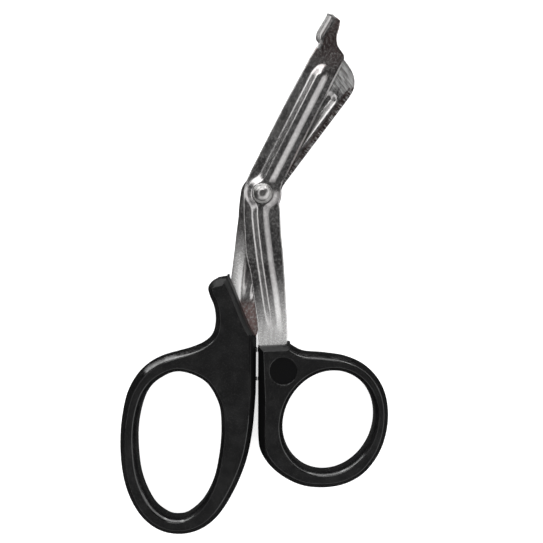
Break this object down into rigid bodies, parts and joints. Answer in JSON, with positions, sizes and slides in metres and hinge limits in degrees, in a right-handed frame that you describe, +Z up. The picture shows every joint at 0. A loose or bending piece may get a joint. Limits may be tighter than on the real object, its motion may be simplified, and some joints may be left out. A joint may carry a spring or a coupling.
{
  "type": "bandage scissors",
  "caption": "Angled bandage scissors: two stamped steel blades with pressed ribs and a blunt foot, turning on a domed rivet, with black moulded ring handles.",
  "frame": {"origin": "centre of the closed scissors' outline in plan, on the surface that the handles' undersides lie on", "axes": "+Y to the blade tips, +X to the thumb ring, +Z up out of the face with the rivet's domed head"},
  "size_m": [0.096, 0.186, 0.0096],
  "materials": {
    "blade_steel": "stamped stainless, tumbled and lightly polished",
    "rivet_steel": "polished",
    "black_plastic": "fine grained flats with smoother bevels"
  },
  "bodies": {
    "finger_side": {"finger_handle": "black_plastic", "upper_blade": "blade_steel", "pivot_rivet": "rivet_steel", "rivet_washer": "rivet_steel"},
    "thumb_side": {"thumb_handle": "black_plastic", "lower_blade": "blade_steel"}
  },
  "joints": [
    {"name": "blade_pivot", "type": "hinge", "parent": "finger_side", "child": "thumb_side", "pos_m": [0.00295, 0.02876, 0.0048], "axis": [0, 0, 1], "range_deg": [0, 100]}
  ]
}
